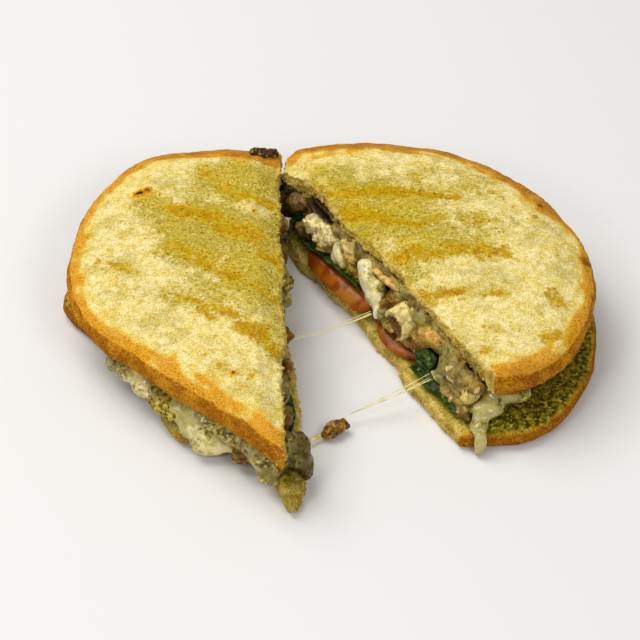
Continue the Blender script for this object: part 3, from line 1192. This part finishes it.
def drawn_strings(node, threads, paint):
    """A string of cheese: threads side by side, each with points and a radius at both ends."""
    shapes = []
    for start, end, sag, first, last in threads:
        share = np.linspace(0.0, 1.0, 26)
        path = np.array(start) * (1 - share)[:, None] + np.array(end) * share[:, None]
        path[:, 2] -= sag * 4 * share * (1 - share)
        path += 0.12 * np.stack([noise(path, 6.0, seed, 2) for seed in (171, 172, 173)], axis=1)
        radii = first + (last - first) * share ** 2 + 0.03 * noise(path, 3.0, 174, 2)
        shapes.append(tube(path, np.maximum(radii, 0.09), 0.8, 8))
    obj = add_object(f"{node}_drawn", shapes)
    add_masks(obj, white=0.8, stain=0.0, deep=0.0)
    finish_piece(obj, paint, [node])


def crumbs(name, seats, sizes, flat, seed, paint):
    """Small uneven bits that sit in a surface."""
    points, faces = ball(1)
    rng = np.random.default_rng(seed)
    shapes = []
    for place, away in seats:
        side = np.cross(away, rng.normal(size=3))
        side /= np.linalg.norm(side)
        frame_here = np.array([side, np.cross(away, side), away])
        size = rng.uniform(*sizes)
        uneven = points * (1.0 + 0.25 * rng.normal(size=(len(points), 1)))
        local = uneven * (size, size * rng.uniform(0.6, 1.0), size * flat)
        shapes.append((local @ frame_here + place + away * size * flat * 0.35, faces))
    obj = add_object(name, shapes)
    finish_piece(obj, paint)
    return obj


# ---------------------------------------------------------------- stage

def set_stage():
    bpy.ops.mesh.primitive_plane_add(size=FLOOR_SIZE)
    floor = bpy.context.object
    floor.name = "floor"
    white = Paint("floor", 0.8)
    white.colour(FLOOR_COLOUR)
    floor.data.materials.append(white.surface)

    scene = bpy.context.scene
    scene.view_settings.view_transform = "Standard"
    scene.world = bpy.data.worlds.new("studio")
    scene.world.use_nodes = True
    sky = scene.world.node_tree.nodes["Background"]
    sky.inputs["Color"].default_value = SKY_COLOUR
    sky.inputs["Strength"].default_value = SKY_STRENGTH
    for light in LIGHTS:
        add_light(*light)


def add_light(name, place, size, power, colour):
    """A square light that faces the panini."""
    lamp = bpy.data.lights.new(name, "AREA")
    lamp.size = size
    lamp.energy = power
    lamp.color = colour
    obj = bpy.data.objects.new(name, lamp)
    bpy.context.scene.collection.objects.link(obj)
    obj.location = place
    obj.rotation_euler = (-Vector(place)).to_track_quat("-Z", "Y").to_euler()


def set_camera():
    """The camera at the photograph's angle."""
    right = Vector((1, 0, 0))
    ahead = Vector((0, math.cos(CAMERA_HEIGHT), -math.sin(CAMERA_HEIGHT)))
    above = Vector((0, math.sin(CAMERA_HEIGHT), math.cos(CAMERA_HEIGHT)))
    across = math.cos(CAMERA_ROLL) * right + math.sin(CAMERA_ROLL) * above
    upward = math.cos(CAMERA_ROLL) * above - math.sin(CAMERA_ROLL) * right
    camera = bpy.data.cameras.new("camera")
    camera.sensor_width = SENSOR_WIDTH
    camera.lens = SENSOR_WIDTH * PIXELS_PER_MM * CAMERA_DISTANCE * 1000 / IMAGE_WIDTH
    obj = bpy.data.objects.new("camera", camera)
    bpy.context.scene.collection.objects.link(obj)
    turn = Matrix((across, upward, -ahead)).transposed().to_4x4()
    turn.translation = Vector(SHIFT * MM) - CAMERA_DISTANCE * ahead
    obj.matrix_world = turn
    bpy.context.scene.camera = obj


# ---------------------------------------------------------------- the whole panini

def make_bread(paint):
    lids = [top_slice(side, *rows, paint) for side, rows in TOP_SLICES.items()]
    bases = [bottom_slice(side, *rows, paint) for side, rows in BOTTOM_SLICES.items()]
    return lids, bases


def make_chicken(paint):
    listed = [Chunk(RIGHT, place, sizes, tilt, turn, tone, 200 + number)
              for number, (place, sizes, tilt, turn, tone) in enumerate(RIGHT_CHUNKS)]
    closing = [Chunk(PLAN, (-16.6, y, 15.0), (1.6, 4.0, 9.0), tone=SHADOW, seed=430) for y in (48.0, 54.0)]
    hidden = (SHADOW, SHADOW, DULL)
    right = listed + closing + bits_on(RIGHT, listed, 36, MIXED, 305)
    right += backing(RIGHT, (20, 114), ((26.2, 10.4), (17.2, 8.8)), (GREEN, TAN, DULL, GREY), 306)
    right += backing(RIGHT, (-16, 6), ((11.0, 9.5), (15.0, 9.5), (19.0, 9.5), (23.0, 10.0)), hidden, 307)
    right += edge_chunks("right_chicken", steep_beyond(RIGHT, 14.0), 1500, 301, MIXED)
    left = backing(LEFT, (-8, 6), ((11.0, 5.0), (15.0, 5.5), (19.0, 5.5), (23.0, 6.0)), hidden, 308)
    left += edge_chunks("left_chicken", steep_beyond(LEFT, -20.0), 2500, 302, DARK, sunk=2.6)
    heap("right", right, FILLING_CELL, steep_beyond(RIGHT, -20.0), paint)
    heap("left", left, HIDDEN_CELL, steep_beyond(LEFT, -20.0), paint)


def make_cheese(paint):
    fibrous = [((24.8 + 1.9 * step, 5.4, 20.0), (1.5, 2.6, 5.6 - 0.5 * step), 6 * step, 0, 400 + step)
               for step in range(4)]
    white = [RIGHT.at(*place) for place in ((27, 4, 20), (43.5, 4.0, 26), (48, 2.6, 23),
                                            (52.5, 2.4, 19.5), (56, 2, 16))]
    clean = [(70, -44, 20), (71, -51, 16), (63, -58, 12), (61, -67, 6)]
    melt("right", chunks_from(RIGHT, fibrous + CHEESE_LOBE, facets=2), white, 1.0, clean, 1.1, paint)
    white = [(-65.5, -52.0, 11), (-68.5, -49.0, 12), (-43, -73, 9), (-41, -75, 9), (-35, -76, 7)]
    clean = [(-47, -70, 12), (-52, -64, 12), (-34, -75, 9), (-30, -72, 14)]
    melt("left", chunks_from(PLAN, CHEESE_SKIRT), white, 0.8, clean, 2.4, paint)


def make_mushrooms(paint):
    mushroom("right_mushroom_1", BROWN, (0.72, 0.58, 0.22), (69.5, 4.6, 18.6), RIGHT,
             chunks_from(RIGHT, GILLED_PART, facets=2), paint, gilled=True)
    mushroom("right_mushroom_2", GOLD, (0.70, 0.48, 0.15), (53, 7.8, 26.9), RIGHT, (), paint)
    mushroom("right_mushroom_3", (0.14, 0.080, 0.018), (0.30, 0.185, 0.050), (-2, 5.8, 26), RIGHT,
             chunks_from(RIGHT, BROWN_LOBES), paint)
    mushroom("left_mushroom_1", BROWN, (0.52, 0.36, 0.12), (88, -3, 16.5), LEFT, (), paint)


def make_pastes():
    pesto = pesto_paint("pesto", (0.40, 0.29, 0.022), (0.12, 0.085, 0.004), (0.68, 0.50, 0.10))
    browned = pesto_paint("browned pesto", (0.24, 0.110, 0.009), (0.075, 0.036, 0.002),
                          (0.46, 0.25, 0.035))
    wet_piece("left_pesto_paste", "left_pesto", pesto, 0.8, 2.4, 150)
    wet_piece("left_pesto_tuft_paste", "left_pesto_tuft", browned, 0.9, 2.4, 151)
    wet_piece("cheese_clump_paste", "cheese_clump", browned, 1.0, 2.0, 152,
              extra=chunks_from(PLAN, CLUMP_BITS))
    wet_piece("burnt_crisp", "left_burnt_crisp", burnt_paint(), 0.9, 2.0, 160,
              cell=CRISP_CELL, relax=1, extra=chunks_from(PLAN, CRISP_FLAKES))


def make_fillings():
    cheese, tomato, leaf = cheese_paint(), tomato_paint(), leaf_paint()
    make_chicken(chicken_paint())
    make_cheese(cheese)
    for row in TOMATOES:
        tomato_slice(*row, tomato)
    leaves("right", RIGHT, RIGHT_FRILLS, 4, leaf)
    leaves("left", LEFT, LEFT_FRILLS, 2, leaf)
    make_mushrooms(mushroom_paint())
    make_pastes()
    for node, threads in STRINGS.items():
        drawn_strings(node, threads, cheese)


def seats_in_mask(obj, count, name, seed, facing_up):
    """Random places on a slice where a mask is strong, on its top or on its sides."""
    share = np.empty(len(obj.data.vertices), np.float32)
    obj.data.attributes[name].data.foreach_get("value", share)
    points = points_of(obj.data)
    low, span = points.min(axis=0), np.ptp(points, axis=0)
    grid = np.zeros((MASK_GRID, MASK_GRID))

    def square_of(places):
        return ((places - low)[:, :2] / span[:2] * (MASK_GRID - 1)).astype(int)

    def allowed(middle, facing):
        x, y = np.clip(square_of(middle), 0, MASK_GRID - 1).T
        right_way = facing[:, 2] > 0.4 if facing_up else np.abs(facing[:, 2]) < 0.7
        return grid[x, y] ** 2 * right_way * (middle[:, 2] > 1.0)

    np.maximum.at(grid, tuple(square_of(points).T), share)
    places, facing, _ = seats_on(obj, count, allowed, seed)
    return list(zip(places, facing))


def make_crumbs(lids, bases, paint):
    """Crumbs along the cuts and flakes of herb on the spread."""
    torn, spread_on = [], []
    for number, obj in enumerate(lids + bases):
        torn += seats_in_mask(obj, CRUMB_COUNT, "torn", 700 + number, False)
    bits = crumbs("bread_crumbs", torn, (0.25, 0.75), 0.8, 710, paint)
    add_masks(bits, soak=0.0, grill=0.0, toast=0.0, bake=0.0, crust=0.0, pesto=0.0, char=0.0, torn=1.0)
    for number, obj in enumerate(bases):
        spread_on += seats_in_mask(obj, FLAKE_COUNT, "pesto", 720 + number, True)
    crumbs("herb_flakes", spread_on, (0.4, 1.0), 0.35, 730, fleck_paint())


def main():
    set_camera()
    set_stage()
    bread = bread_paint()
    lids, bases = make_bread(bread)
    make_fillings()
    make_crumbs(lids, bases, bread)


main()
